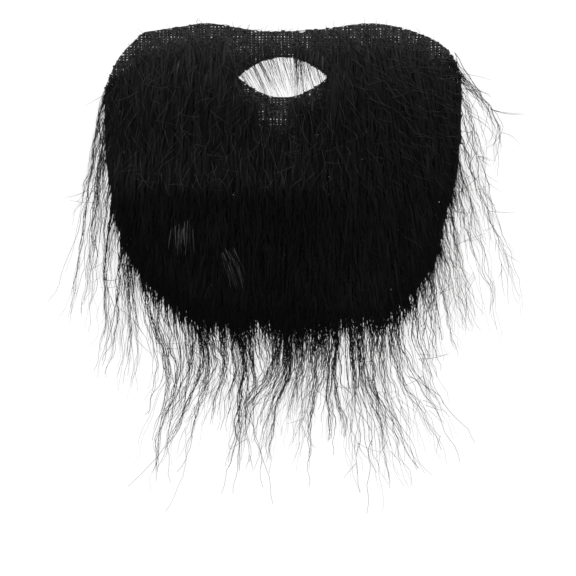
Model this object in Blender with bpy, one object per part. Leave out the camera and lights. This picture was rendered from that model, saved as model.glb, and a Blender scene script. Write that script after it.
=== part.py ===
"""Fake beard: black hair on a woven ground with a mouth slit, lying on its back.

Metres. +Z comes out of the hair side, +Y points to the nose, and +X is to the right of someone
who looks at the hair. The origin is on the back of the cloth, at the point of the chin.
Left and right are the sides as they are seen from the hair side.
"""

import bpy
import bmesh
import numpy as np

MM = 0.001

# The cloth
CLOTH_WIDTH = 214 * MM
CLOTH_RISE = 77 * MM  # from the chin point up to the highest stretch of the top edge
CLOTH_DROP = 101 * MM  # from the chin point down to the hem
CLOTH_THICKNESS = 1.0 * MM

# The mouth slit, a lens with a pointed corner at each end
MOUTH_WIDTH = 55 * MM
MOUTH_RISE = 45 * MM  # from the chin point up to the line through the two corners
MOUTH_UP = 12.0 * MM  # from that line up to the upper lip
MOUTH_DOWN = 12.6 * MM  # from that line down to the lower lip

# The hair
HAIR_GAP = 0.3 * MM  # between the hair and the cloth, and between two areas of hair
CHIN_SHARE = 0.42  # share of half the cloth's width that the moustache and the chin hair take
PILE_DEPTH = 9.0 * MM  # of the deepest hair, at the chin
PILE_RIM = 0.8 * MM  # of the hair at its thinnest
TOP_MARGIN = 5.0 * MM  # bare cloth along the top edge
SIDE_MARGIN = 2.0 * MM  # bare cloth along the two sides
HEM_OVERHANG = 13 * MM  # of the hair past the middle of the hem
MOUTH_MARGIN = 2.5 * MM  # bare cloth round the slit
HEM_FADE = 24 * MM  # over which the hair thins out to its lower border
RIDGE_PITCH = 13 * MM  # across two neighbouring clumps of hair
RIDGE_HEIGHT = 2.2 * MM  # on the deepest hair
CREASE_DEPTH = 1.4 * MM  # the valley that a fold in the packing pressed across the hair
CREASE_WIDTH = 16 * MM
CREASE_LENGTH = 116 * MM
CREASE_DROP = 23 * MM  # from the chin point down to the valley

# The locks
FRINGE_DROP = 108 * MM  # from the hem down to the tip of the longest lock
SIDE_REACH = 30 * MM  # from the cloth's side to the tip of the lock that reaches out furthest
LOCK_INSET = 26 * MM  # from the hem up to a lock's root
SIDE_INSET = 9 * MM  # from the side of the cloth in to a lock's root
LOCK_WIDTH = 12.5 * MM
LOCK_DEPTH = 6.0 * MM
LOCK_TIP = 0.14  # share of a lock's width and depth that is left at its tip
LOCK_TAPER = 1.4  # 1 tapers evenly, more keeps a lock broad for longer
LOCK_LIFT = 0.15 * MM  # from the underside of the hair up to that of a lock
LOCK_CLEAR = 5.0 * MM  # past the cloth's edge, before a lock comes down
LOCK_FALL = 14 * MM  # over which it comes down to the back's level

HALF_WIDTH = CLOTH_WIDTH / 2
HAIR_BASE = CLOTH_THICKNESS + HAIR_GAP
CHIN_HALF = CHIN_SHARE * HALF_WIDTH

# The cloth's edge, clockwise from the upper left corner as the hair is looked at.
# across: share of half the width. height: share of the rise, or of the drop where it is below zero.
# corner: 1 where the edge turns sharply.
EDGE = [
    # across, height, corner
    (-0.779, 0.930, 1),
    (-0.555, 0.977, 0),
    (-0.409, 1.000, 0),
    (-0.107, 0.938, 0),
    (0.207, 0.953, 0),
    (0.510, 1.000, 0),
    (0.791, 0.906, 0),
    (0.948, 0.750, 0),
    (0.998, 0.500, 0),
    (0.988, 0.094, 0),
    (0.976, -0.110, 0),
    (0.908, -0.387, 0),
    (0.847, -0.655, 0),
    (0.684, -0.881, 0),
    (0.544, -0.958, 0),
    (0.151, -1.000, 0),
    (-0.241, -0.988, 0),
    (-0.465, -0.970, 0),
    (-0.718, -0.821, 0),
    (-0.858, -0.631, 0),
    (-0.914, -0.482, 0),
    (-0.976, -0.137, 0),
    (-0.998, 0.094, 0),
    (-0.996, 0.500, 1),
    (-0.914, 0.742, 0),
]

# How deep the hair is. height: as in the edge's table. depth: share of the deepest hair.
DEPTH_BY_HEIGHT = [
    # height, depth
    (-1.00, 0.62),
    (-0.60, 0.90),
    (-0.10, 1.00),
    (0.30, 0.72),
    (0.75, 0.42),
    (1.00, 0.18),
]

# The locks of the bottom fringe, from left to right.
# across: share of half the cloth's width, at the hem. drop: share of the fringe's drop.
# sway and bow: sideways shift of the tip and of the middle, as shares of the fringe's drop.
# width: share of the widest lock.
LEFT_HEM_LOCKS = [
    # across, drop, sway, bow, width
    (-0.820, 0.40, -0.10, -0.03, 0.70),
    (-0.735, 0.50, -0.10, 0.02, 0.85),
    (-0.660, 0.56, -0.16, 0.03, 0.90),
    (-0.590, 0.42, -0.10, 0.03, 1.00),
    (-0.535, 0.79, -0.19, 0.03, 0.95),
    (-0.475, 1.00, -0.15, 0.03, 0.84),
]
CHIN_LOCKS = [
    (-0.362, 0.50, -0.07, 0.03, 0.90),
    (-0.298, 0.34, -0.03, 0.02, 1.00),
    (-0.236, 0.73, 0.03, 0.05, 1.00),
    (-0.163, 0.45, -0.02, 0.03, 1.00),
    (-0.084, 0.43, -0.06, 0.02, 1.00),
    (-0.017, 0.78, -0.11, 0.02, 1.00),
    (0.056, 0.46, -0.05, 0.01, 1.00),
    (0.124, 0.45, 0.02, 0.03, 1.00),
    (0.185, 0.72, -0.09, 0.02, 1.00),
    (0.246, 0.40, -0.04, 0.00, 1.00),
    (0.305, 0.28, 0.00, 0.00, 1.00),
    (0.362, 0.52, 0.04, -0.02, 0.88),
]
RIGHT_HEM_LOCKS = [
    (0.475, 1.00, 0.16, -0.02, 0.84),
    (0.545, 0.78, 0.13, -0.03, 0.95),
    (0.612, 0.46, 0.07, -0.02, 0.95),
    (0.678, 0.66, 0.19, -0.03, 0.90),
    (0.745, 0.54, 0.13, -0.01, 0.80),
    (0.815, 0.42, 0.11, 0.00, 0.70),
]

# The locks that leave the two sides, from the top down.
# height: of the root, as in the edge's table. drop: share of the fringe's drop.
# out and mid_out: how far the tip and the middle lie beyond the cloth's widest point, as shares
# of the side's reach. width: share of the widest lock.
LEFT_SIDE_LOCKS = [
    # height, drop, out, mid_out, width
    (0.560, 1.08, 0.55, 0.34, 0.36),
    (-0.060, 0.76, 0.40, 0.30, 0.36),
    (-0.250, 0.84, 0.18, 0.08, 0.44),
    (-0.490, 0.76, -0.15, -0.08, 0.50),
]
RIGHT_SIDE_LOCKS = [
    (0.760, 0.30, 0.56, 0.22, 0.32),
    (-0.060, 0.52, 0.98, 0.26, 0.44),
    (-0.290, 0.66, 0.42, 0.04, 0.44),
    (-0.560, 0.68, 0.06, -0.16, 0.50),
]

# How finely the shapes are cut
EDGE_STEPS = 5  # points to a row of the edge's table
LIP_STEPS = 16  # points to a lip of the mouth
COLUMN_WIDTH = 3.6 * MM  # of the grid on top of the hair
ROW_HEIGHT = 9 * MM
LOCK_STATIONS = [0.0, 0.14, 0.27, 0.38, 0.52, 0.70, 0.86, 1.0]  # shares of a lock's length

# Half of a lock's section: a flat underside, a steep flank and a round back.
LOCK_SECTION = [
    # sideways, up: shares of half the width and of the depth
    (-1.00, 0.00),
    (-0.80, 0.55),
    (-0.30, 0.95),
    (0.30, 0.95),
    (0.80, 0.55),
    (1.00, 0.00),
]


def height_to_y(height):
    """Turns the tables' height into a Y: a share of the rise above zero and of the drop below it."""
    height = np.asarray(height, dtype=float)
    return np.where(height > 0, height * CLOTH_RISE, height * CLOTH_DROP)


def smooth_loop(points, corners, steps):
    """Runs a closed curve through the points, with no slope where it turns a corner.

    Each stretch is a cubic between two points. Its slope at a point is half the way from the
    point before to the point after.
    """
    before, after = np.roll(points, 1, axis=0), np.roll(points, -1, axis=0)
    slope = (after - before) / 2 * (1 - corners[:, None])
    end, end_slope = after, np.roll(slope, -1, axis=0)
    t = (np.arange(steps) / steps)[None, :, None]
    start, start_slope = points[:, None], slope[:, None]
    curve = (
        (2 * t**3 - 3 * t**2 + 1) * start
        + (t**3 - 2 * t**2 + t) * start_slope
        + (3 * t**2 - 2 * t**3) * end[:, None]
        + (t**3 - t**2) * end_slope[:, None]
    )
    return curve.reshape(-1, 2)


def cloth_edge():
    """The cloth's outline, clockwise from its upper left corner."""
    table = np.array(EDGE)
    points = np.column_stack([table[:, 0] * HALF_WIDTH, height_to_y(table[:, 1])])
    return smooth_loop(points, table[:, 2], EDGE_STEPS)


def mouth_edge():
    """The slit's outline: two parabolas that meet at the corners."""
    across = -np.cos(np.linspace(0, np.pi, LIP_STEPS + 1))
    x = across * MOUTH_WIDTH / 2
    upper = MOUTH_RISE + MOUTH_UP * (1 - across**2)
    lower = MOUTH_RISE - MOUTH_DOWN * (1 - across**2)
    return np.column_stack([np.concatenate([x, x[-2:0:-1]]), np.concatenate([upper, lower[-2:0:-1]])])


def cloth_span(x):
    """The lowest and highest Y of the cloth at each X."""
    edge = cloth_edge()
    left, right = np.argmin(edge[:, 0]), np.argmax(edge[:, 0])
    edge = np.roll(edge, -left, axis=0)
    turn = (right - left) % len(edge)
    over = edge[: turn + 1]
    under = np.vstack([edge[turn:], edge[:1]])[::-1]
    over_x = np.maximum.accumulate(over[:, 0])
    under_x = np.maximum.accumulate(under[:, 0])
    return np.interp(x, under_x, under[:, 1]), np.interp(x, over_x, over[:, 1])


def hair_low(x):
    """The hair's lower border at each X: past the hem in the middle, level with it at the sides."""
    return cloth_span(x)[0] - HEM_OVERHANG * (1 - (x / HALF_WIDTH) ** 4)


def hair_high(x):
    """The hair's upper border at each X: a strip of bare cloth below the top edge."""
    return cloth_span(x)[1] - TOP_MARGIN


def mouth_span(x):
    """The Y of the lower and upper border of the hair round the slit at each X."""
    share = np.clip(1 - (x / (MOUTH_WIDTH / 2 + MOUTH_MARGIN)) ** 2, 0, None)
    lower = (MOUTH_DOWN + MOUTH_MARGIN) * share
    upper = (MOUTH_UP + MOUTH_MARGIN) * share
    return MOUTH_RISE - np.maximum(lower, HAIR_GAP / 2), MOUTH_RISE + np.maximum(upper, HAIR_GAP / 2)


def beyond_cloth(points):
    """How far each point lies outside the cloth's edge, or below zero how far inside."""
    edge = cloth_edge()
    after = np.roll(edge, -1, axis=0)
    x, y = points[:, None, 0], points[:, None, 1]
    run = after - edge
    share = ((points[:, None] - edge) * run).sum(axis=2) / (run**2).sum(axis=1)
    nearest = edge + np.clip(share, 0, 1)[:, :, None] * run
    distance = np.linalg.norm(points[:, None] - nearest, axis=2).min(axis=1)
    crosses = (edge[:, 1] > y) != (after[:, 1] > y)
    with np.errstate(divide="ignore", invalid="ignore"):
        meets = edge[:, 0] + (y - edge[:, 1]) / run[:, 1] * run[:, 0]
    inside = (crosses & (x < meets)).sum(axis=1) % 2 == 1
    return np.where(inside, -distance, distance)


def smooth_step(share):
    """Rises smoothly from 0 to 1."""
    share = np.clip(share, 0, 1)
    return share * share * (3 - 2 * share)


def pile_depth(x, y):
    """The hair's depth: by height, thinner at the sides and the slit, in ridges, with the crease."""
    height = np.where(y > 0, y / CLOTH_RISE, y / CLOTH_DROP)
    table = np.array(DEPTH_BY_HEIGHT)
    depth = PILE_DEPTH * np.interp(height, table[:, 0], table[:, 1])
    depth = depth * (1 - 0.72 * np.abs(x / HALF_WIDTH) ** 4)
    fan = 1 + 0.25 * (MOUTH_RISE - y) / (MOUTH_RISE + CLOTH_DROP)
    ridge = np.abs(np.cos(np.pi * x / fan / RIDGE_PITCH))
    depth = depth - RIDGE_HEIGHT * (1 - ridge) * depth / PILE_DEPTH
    reach = np.hypot(x / (MOUTH_WIDTH / 2 + MOUTH_MARGIN), (y - MOUTH_RISE) / (MOUTH_UP + MOUTH_MARGIN))
    depth = depth * (0.35 + 0.65 * smooth_step(reach - 0.6))
    across = smooth_step((CREASE_LENGTH / 2 - np.abs(x)) / CREASE_WIDTH)
    along = np.cos(np.pi * np.clip((y + CREASE_DROP) / CREASE_WIDTH, -0.5, 0.5)) ** 2
    depth = depth - CREASE_DEPTH * across * along
    depth = depth * smooth_step((y - hair_low(x)) / HEM_FADE)
    return np.maximum(depth, PILE_RIM)


def material(name, colour, roughness):
    """A plain coloured material."""
    made = bpy.data.materials.new(name)
    made.use_nodes = True
    shader = made.node_tree.nodes["Principled BSDF"]
    shader.inputs["Base Color"].default_value = (*colour, 1)
    shader.inputs["Roughness"].default_value = roughness
    shader.inputs["Metallic"].default_value = 0
    return made


def add_object(name, mesh, finish):
    """Puts a mesh into the scene as a named piece."""
    piece = bpy.data.objects.new(name, mesh)
    piece.data.materials.append(finish)
    bpy.context.collection.objects.link(piece)
    return piece


def backing_cloth(finish):
    """The ground: the edge and the slit filled flat, then raised by the cloth's thickness."""
    work = bmesh.new()
    for loop in (cloth_edge(), mouth_edge()):
        corners = [work.verts.new((x, y, 0)) for x, y in loop]
        for here, there in zip(corners, corners[1:] + corners[:1]):
            work.edges.new((here, there))
    bmesh.ops.triangle_fill(work, edges=work.edges[:], use_beauty=True, normal=(0, 0, 1))
    raised = bmesh.ops.extrude_face_region(work, geom=work.faces[:])
    top = [item for item in raised["geom"] if isinstance(item, bmesh.types.BMVert)]
    bmesh.ops.translate(work, verts=top, vec=(0, 0, CLOTH_THICKNESS))
    bmesh.ops.recalc_face_normals(work, faces=work.faces[:])
    mesh = bpy.data.meshes.new("backing_cloth")
    work.to_mesh(mesh)
    work.free()
    return add_object("backing_cloth", mesh, finish)


def hair_slab(name, left, right, low, high, finish):
    """An area of hair from one X to another, between two borders that are functions of X.

    Its back is flat, just over the cloth. Its top is a grid whose height is the pile's depth.
    """
    columns = max(4, round((right - left) / COLUMN_WIDTH))
    x = np.linspace(left, right, columns + 1)
    bottom, top = low(x), high(x)
    rows = max(3, round((top - bottom).max() / ROW_HEIGHT))
    share = np.linspace(0, 1, rows + 1)
    grid_x = np.repeat(x[:, None], rows + 1, axis=1)
    grid_y = bottom[:, None] + (top - bottom)[:, None] * share
    grid_z = HAIR_BASE + pile_depth(grid_x, grid_y)
    points = np.column_stack([grid_x.ravel(), grid_y.ravel(), grid_z.ravel()])
    index = np.arange(points.shape[0]).reshape(columns + 1, rows + 1)
    rim = np.concatenate([index[:-1, 0], index[-1, :-1], index[:0:-1, -1], index[0, :0:-1]])
    back = points[rim].copy()
    back[:, 2] = HAIR_BASE
    below = len(points) + np.arange(len(rim))
    faces = np.stack([index[:-1, :-1], index[1:, :-1], index[1:, 1:], index[:-1, 1:]], axis=2).reshape(-1, 4)
    walls = np.column_stack([below, np.roll(below, -1), np.roll(rim, -1), rim])
    mesh = bpy.data.meshes.new(name)
    mesh.from_pydata(
        np.vstack([points, back]).tolist(), [], faces.tolist() + walls.tolist() + [below[::-1].tolist()]
    )
    return add_object(name, mesh, finish)


def lock_path(root, middle, tip, stations):
    """Points on the parabola that starts at the root, ends at the tip and passes the middle."""
    t = stations[:, None]
    control = 2 * middle - (root + tip) / 2
    points = (1 - t) ** 2 * root + 2 * t * (1 - t) * control + t**2 * tip
    heading = 2 * (1 - t) * (control - root) + 2 * t * (tip - control)
    heading = heading / np.linalg.norm(heading, axis=1)[:, None]
    return points, np.column_stack([-heading[:, 1], heading[:, 0]])


def lock(name, root, middle, tip, width, depth):
    """One lock: a flat-backed section along a path, tapering to its tip.

    It passes over the cloth's edge at the hair's level, then comes down to the level of the back.
    """
    t = np.array(LOCK_STATIONS)
    points, side = lock_path(root, middle, tip, t)
    taper = 1 - (1 - LOCK_TIP) * t**LOCK_TAPER
    half, up = width / 2 * taper, depth * taper
    section = np.array(LOCK_SECTION)
    outer = np.vstack([points + side * half[:, None], points - side * half[:, None], points])
    clear = beyond_cloth(outer).reshape(3, -1).min(axis=0)
    level = (HAIR_BASE + LOCK_LIFT) * (1 - smooth_step((clear - LOCK_CLEAR) / LOCK_FALL))
    flat = points[:, None] - side[:, None] * (half[:, None] * section[:, 0])[:, :, None]
    z = level[:, None] + up[:, None] * section[:, 1]
    ring = len(section)
    verts = np.dstack([flat, z]).reshape(-1, 3)
    index = np.arange(len(verts)).reshape(-1, ring)
    around = np.roll(index, -1, axis=1)
    sides = np.stack([index[:-1], index[1:], around[1:], around[:-1]], axis=2).reshape(-1, 4)
    mesh = bpy.data.meshes.new(name)
    mesh.from_pydata(verts.tolist(), [], sides.tolist() + [index[0].tolist(), index[-1][::-1].tolist()])
    outward(mesh)
    return mesh


def outward(mesh):
    """Turns a closed mesh's faces outwards."""
    work = bmesh.new()
    work.from_mesh(mesh)
    bmesh.ops.recalc_face_normals(work, faces=work.faces[:])
    work.to_mesh(mesh)
    work.free()


def hem_lock(name, across, drop, sway, bow, width):
    """A lock of the bottom fringe, from its row of the table."""
    x = across * HALF_WIDTH
    hem = cloth_span(x)[0]
    root = np.array([x, hem + LOCK_INSET])
    tip = np.array([x + sway * FRINGE_DROP, hem - drop * FRINGE_DROP])
    middle = (root + tip) / 2 + np.array([bow * FRINGE_DROP, 0])
    return lock(name, root, middle, tip, width * LOCK_WIDTH, LOCK_DEPTH)


def side_lock(name, side, height, drop, out, mid_out, width):
    """A lock that leaves the cloth's left (-1) or right (1) side, from its row of the table."""
    y = float(height_to_y(height))
    edge = cloth_edge()
    level = edge[edge[:, 0] * side > 0]
    edge_x = level[np.argmin(np.abs(level[:, 1] - y)), 0]
    root = np.array([edge_x - side * SIDE_INSET, y])
    tip = np.array([side * (HALF_WIDTH + out * SIDE_REACH), y - drop * FRINGE_DROP])
    middle = np.array([side * (HALF_WIDTH + mid_out * SIDE_REACH), (y + tip[1]) / 2])
    return lock(name, root, middle, tip, width * LOCK_WIDTH, width * LOCK_DEPTH)


def fuse(head, meshes):
    """Unites the locks with the hair that carries them."""
    for mesh in meshes:
        guide = bpy.data.objects.new(mesh.name, mesh)
        bpy.context.collection.objects.link(guide)
        guide.hide_render = True
        guide.display_type = "WIRE"
        union = head.modifiers.new(mesh.name, "BOOLEAN")
        union.operation = "UNION"
        union.object = guide


def moustache_hair(finish):
    """The hair between the top edge and the slit."""
    return hair_slab(
        "moustache_hair",
        -CHIN_HALF,
        CHIN_HALF,
        lambda x: mouth_span(x)[1],
        hair_high,
        finish,
    )


def chin_hair(finish):
    """The hair below the slit, with the locks of the middle of the fringe."""
    head = hair_slab(
        "chin_hair",
        -CHIN_HALF,
        CHIN_HALF,
        hair_low,
        lambda x: mouth_span(x)[0],
        finish,
    )
    fuse(head, [hem_lock(f"chin_lock_{n}", *row) for n, row in enumerate(CHIN_LOCKS, 1)])
    return head


def cheek_hair(name, side, hem_rows, side_rows, finish):
    """The hair of one cheek, with the locks that leave its side and its stretch of the hem."""
    inner = side * (CHIN_HALF + HAIR_GAP)
    outer = side * (HALF_WIDTH - SIDE_MARGIN)
    head = hair_slab(
        name,
        min(inner, outer),
        max(inner, outer),
        hair_low,
        hair_high,
        finish,
    )
    locks = [hem_lock(f"{name}_hem_lock_{n}", *row) for n, row in enumerate(hem_rows, 1)]
    locks += [side_lock(f"{name}_side_lock_{n}", side, *row) for n, row in enumerate(side_rows, 1)]
    fuse(head, locks)
    return head


def clear_scene():
    """Empties the scene."""
    for thing in list(bpy.data.objects):
        bpy.data.objects.remove(thing, do_unlink=True)


def main():
    clear_scene()
    ground = material("black_woven_ground", (0.012, 0.012, 0.013), 0.75)
    hair = material("black_synthetic_hair", (0.008, 0.008, 0.009), 0.45)
    backing_cloth(ground)
    moustache_hair(hair)
    chin_hair(hair)
    cheek_hair("left_cheek_hair", -1, LEFT_HEM_LOCKS, LEFT_SIDE_LOCKS, hair)
    cheek_hair("right_cheek_hair", 1, RIGHT_HEM_LOCKS, RIGHT_SIDE_LOCKS, hair)


main()
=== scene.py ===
import math
import bpy
import numpy as np
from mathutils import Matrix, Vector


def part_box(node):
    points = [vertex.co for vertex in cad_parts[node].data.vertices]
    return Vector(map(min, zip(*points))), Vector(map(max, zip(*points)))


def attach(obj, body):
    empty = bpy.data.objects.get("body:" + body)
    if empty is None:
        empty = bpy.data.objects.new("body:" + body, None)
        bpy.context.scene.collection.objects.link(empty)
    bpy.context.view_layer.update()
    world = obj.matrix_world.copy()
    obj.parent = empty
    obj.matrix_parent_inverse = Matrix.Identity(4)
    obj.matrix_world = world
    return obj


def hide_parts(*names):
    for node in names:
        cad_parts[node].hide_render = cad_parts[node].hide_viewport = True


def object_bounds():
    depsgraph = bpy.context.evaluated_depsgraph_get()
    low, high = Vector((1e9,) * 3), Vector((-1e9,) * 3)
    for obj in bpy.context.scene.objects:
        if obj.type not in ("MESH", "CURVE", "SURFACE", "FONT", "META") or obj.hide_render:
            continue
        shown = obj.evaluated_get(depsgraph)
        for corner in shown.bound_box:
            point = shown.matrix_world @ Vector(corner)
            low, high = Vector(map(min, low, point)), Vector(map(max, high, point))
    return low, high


# Finish of a fake beard: a loose woven ground with a mouth slit, black synthetic hair in layers
# over it, and the wavy fringe that hangs past its edge. It lies on its back on a pale floor and is
# seen straight from above. Metres, in the frame of the solids: +Z out of the hair, +Y to the nose.
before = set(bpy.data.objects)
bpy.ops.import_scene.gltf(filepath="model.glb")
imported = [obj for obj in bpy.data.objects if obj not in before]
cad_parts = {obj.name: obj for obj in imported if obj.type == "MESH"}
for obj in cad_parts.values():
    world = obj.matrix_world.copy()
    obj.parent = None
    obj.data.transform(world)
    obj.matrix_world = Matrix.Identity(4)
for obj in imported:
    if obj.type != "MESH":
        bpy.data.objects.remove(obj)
cad_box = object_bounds()

MM = 0.001
FLAT_TOP = 1.0 * MM  # the face of the ground that the hair is knotted to

# The photograph: what a pixel spans on the floor, and the pixel that lies over the origin
PICTURE = 576
PIXEL = 0.6 * MM
ORIGIN_PIXEL = (283, 152)
EYE_HEIGHT = 2.2  # of the camera, in metres
SENSOR = 36  # width of its picture, in millimetres

# The stage
FLOOR_SIZE = 12  # in metres
FLOOR_DROP = 0.2 * MM  # of the floor under the lowest face
FLOOR_GLOW = 0.78  # by which the floor hides the shadows
SKY_STRENGTH = 0.4
LIGHTS = [
    # name, place in metres, side of the light's square in metres, watts
    ("soft_left", (-1.4, 0.5, 1.6), 1.2, 9),
    ("soft_right", (1.5, -0.3, 1.5), 1.2, 7),
    ("soft_top", (0.1, 1.7, 1.5), 1.4, 6),
]

# The weave
WARP_PITCH = 2.2 * MM  # between the yarns that run up and down
WEFT_PITCH = 1.5 * MM  # between the yarns that run across
WARP_WIDTH = 1.92 * MM
WEFT_WIDTH = 1.27 * MM
CLOSING = 0.26  # how much wider the yarns are where hair is knotted to them, which shuts the holes
YARN_DEPTH = 0.42 * MM
YARN_WAVE = 0.19 * MM  # how far a yarn goes up and down as it passes over and under
YARN_DRIFT = 0.20 * MM  # how far a yarn strays from its line
YARN_SHIFT = 0.09 * MM  # how far a whole yarn lies off its line
YARN_END = 0.35 * MM  # how unevenly the yarns end at the edges
YARN_UNEVEN = 0.15  # how much a yarn's width varies along it, as a share
YARN_WIDTHS = (0.87, 1.09)  # the thinnest and the thickest yarn, as shares of the usual width
EDGE_HALF = 0.24 * MM  # half the width of the bound edge
EDGE_STATIONS = 600

# The hair
FRINGE_WIDTH = 0.36 * MM  # of two or three fibres that cling together
FINE_WIDTH = 0.20 * MM  # of a single hair
LOCK_HALF = 0.60 * MM  # half the width of a flat lock of the under hair
LOCK_DEPTH = 0.12 * MM  # half its thickness
UNDER_LOCKS = 4300
TOP_HAIRS = 4300
STRAY_HAIRS = 1200
CROSSING_STRAYS = 0.3  # share of the strays at the left that lie at any angle
CROSSING_ANGLE = 1.7  # the widest of those angles, in radians from the flow
FLYAWAYS = 420
RIGHT_FLYAWAYS = 0.15  # share of them that is kept for the right part of the fringe
TOP_FLYAWAYS = 55  # more of them, on the top edge
MOUTH_HAIRS = 175
PILE = 8.0 * MM  # of the deepest hair, at the chin
SIDE_THINNING = 0.72  # share of the pile's depth that is gone at the two sides
BARE = 2 * MM  # of the ground along its top edge
THIN = 14 * MM  # below that, over which the hair thickens
FAN_LEFT = -0.13  # how far the hair fans out at the left edge, in radians to the right
FAN_RIGHT = 0.30  # and at the right edge
ROOT_LIFT = 0.3 * MM  # of the hair over the face of the ground
LOOSE_LIFT = 0.8 * MM  # of the topmost hair over the lowest where they lie on the floor
RISE = 4.5  # a hair has its full height after one part in this many of its length
STEPS = 16  # along a hair before it is trimmed
LIP_MARGIN = 3 * MM  # round the mouth, in which the hair is kept off the opening
SIDE_FINENESS = 0.8  # how wide the hairs are at the shoulders, as a share
FALL = 16 * MM  # past the edge, over which the hair comes down to the floor
EDGE_REACH = 4 * MM  # of the longest locks of the under hair past the edge
HEM_LEVEL = -62 * MM  # below this height those locks hang further past the edge
HEM_FALL = 7 * MM  # how much further
REST = 0.5 * MM  # of the lowest hair over the floor
SPARE = 14 * MM  # how far the longest hairs may pass the box of the solids
CLUMP_BEND = 0.7  # how a clump of the fringe curves off its line, in 1 / metre
FLYAWAY_BEND = 30  # how a flyaway hair curves, in 1 / metre
FRIZZ = 0.21  # height of a fringe hair's two fine waves in mm, where its stations are 1 mm apart
BATCH = 20000  # points whose distance to the outline is worked out at once


def read(items, name, width, kind=np.float32):
    """Reads one property of all the items of a mesh into an array with that many columns."""
    values = np.empty(len(items) * width, kind)
    items.foreach_get(name, values)
    return values.reshape(-1, width)


def chain(edges, plan):
    """Joins edges end to end into closed loops of points."""
    linked = {}
    for a, b in edges.tolist():
        linked.setdefault(a, []).append(b)
        linked.setdefault(b, []).append(a)
    loops = []
    while linked:
        here = next(iter(linked))
        loop = []
        while linked.get(here):
            loop.append(here)
            there = linked[here].pop()
            linked[there].remove(here)
            here = there
        linked = {key: value for key, value in linked.items() if value}
        loops.append(plan[loop + [here]])
    return loops


def ground_outline():
    """The edges of the ground's underside in plan, its area, and its edges as closed loops.

    They are the edges that only one of the triangles at the lowest level has.
    """
    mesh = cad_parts["backing_cloth"].data
    mesh.calc_loop_triangles()
    points = read(mesh.vertices, "co", 3).astype(float)
    corners = read(mesh.loop_triangles, "vertices", 3, np.int32)
    merged, where = np.unique(np.round(points, 7), axis=0, return_inverse=True)
    corners = where.reshape(-1)[corners]
    corners = corners[(merged[corners][:, :, 2] < FLAT_TOP / 2).all(axis=1)]
    plan = merged[:, :2]
    a, b, c = plan[corners[:, 0]], plan[corners[:, 1]], plan[corners[:, 2]]
    cross = (b - a)[:, 0] * (c - a)[:, 1] - (b - a)[:, 1] * (c - a)[:, 0]
    pairs = np.sort(np.vstack([corners[:, [0, 1]], corners[:, [1, 2]], corners[:, [2, 0]]]), axis=1)
    edges, uses = np.unique(pairs, axis=0, return_counts=True)
    edges = edges[uses == 1]
    return plan[edges[:, 0]], plan[edges[:, 1]], float(np.abs(cross).sum() / 2), chain(edges, plan)


EDGE_A, EDGE_B, GROUND_AREA, LOOPS = ground_outline()


def crossings(lines, axis):
    """Where each line of constant X (axis 0) or Y (axis 1) crosses the outline, sorted, then NaN."""
    other = 1 - axis
    a, b = EDGE_A[:, axis][None], EDGE_B[:, axis][None]
    level = lines[:, None]
    meets = (a - level) * (b - level) < 0
    with np.errstate(divide="ignore", invalid="ignore"):
        share = (level - a) / (b - a)
        found = EDGE_A[:, other] + share * (EDGE_B[:, other] - EDGE_A[:, other])
    return np.sort(np.where(meets, found, np.nan), axis=1)


LOW_CORNER = np.minimum(EDGE_A, EDGE_B).min(axis=0)
HIGH_CORNER = np.maximum(EDGE_A, EDGE_B).max(axis=0)
HALF_WIDTH = (HIGH_CORNER[0] - LOW_CORNER[0]) / 2
GRID_X = np.linspace(LOW_CORNER[0] + MM / 4, HIGH_CORNER[0] - MM / 4, 400)
GRID_Y = np.linspace(LOW_CORNER[1] + MM / 4, HIGH_CORNER[1] - MM / 4, 400)
TOP_LINE = np.nanmax(crossings(GRID_X, 0), axis=1)
LEFT_LINE = np.nanmin(crossings(GRID_Y, 1), axis=1)
RIGHT_LINE = np.nanmax(crossings(GRID_Y, 1), axis=1)
MOUTH = min(LOOPS, key=lambda loop: np.ptp(loop[:, 0]))
MOUTH_LOW, MOUTH_HIGH = MOUTH.min(axis=0), MOUTH.max(axis=0)
MOUTH_X, MOUTH_Y = (MOUTH_LOW + MOUTH_HIGH) / 2
MIDDLE_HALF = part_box("moustache_hair")[1].x


def beyond(points):
    """How far each point lies outside the ground, below zero inside, by its distance to the outline."""
    flat = points.reshape(-1, 2)
    run = EDGE_B - EDGE_A
    found = np.empty(len(flat))
    for part in np.array_split(np.arange(len(flat)), max(1, len(flat) // BATCH)):
        here = flat[part][:, None]
        share = np.clip(((here - EDGE_A) * run).sum(axis=2) / (run**2).sum(axis=1), 0, 1)
        away = np.linalg.norm(here - EDGE_A - share[:, :, None] * run, axis=2).min(axis=1)
        spans = (EDGE_A[:, 1] > here[:, :, 1]) != (EDGE_B[:, 1] > here[:, :, 1])
        with np.errstate(divide="ignore", invalid="ignore"):
            meets = EDGE_A[:, 0] + (here[:, :, 1] - EDGE_A[:, 1]) / run[:, 1] * run[:, 0]
        inside = (spans & (here[:, :, 0] < meets)).sum(axis=1) % 2 == 1
        found[part] = np.where(inside, -away, away)
    return found.reshape(points.shape[:-1])


def in_mouth_box(points, margin=0):
    return ((points > MOUTH_LOW - margin) & (points < MOUTH_HIGH + margin)).all(axis=-1)


def smooth(share):
    """Rises smoothly from 0 to 1."""
    share = np.clip(share, 0, 1)
    return share * share * (3 - 2 * share)


def ripple(x, y, size, seed):
    """Smooth noise from about -1 to 1: five sine waves that cross at angles of their own."""
    rng = np.random.default_rng(seed)
    waves = 5
    turns = rng.uniform(0, math.tau, waves)
    phases = rng.uniform(0, math.tau, waves)
    scales = rng.uniform(0.7, 1.6, waves)
    total = 0
    for turn, phase, scale in zip(turns, phases, scales):
        along = x * math.cos(turn) + y * math.sin(turn)
        total = total + np.sin(along * math.tau / size / scale + phase)
    return total / 3


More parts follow.
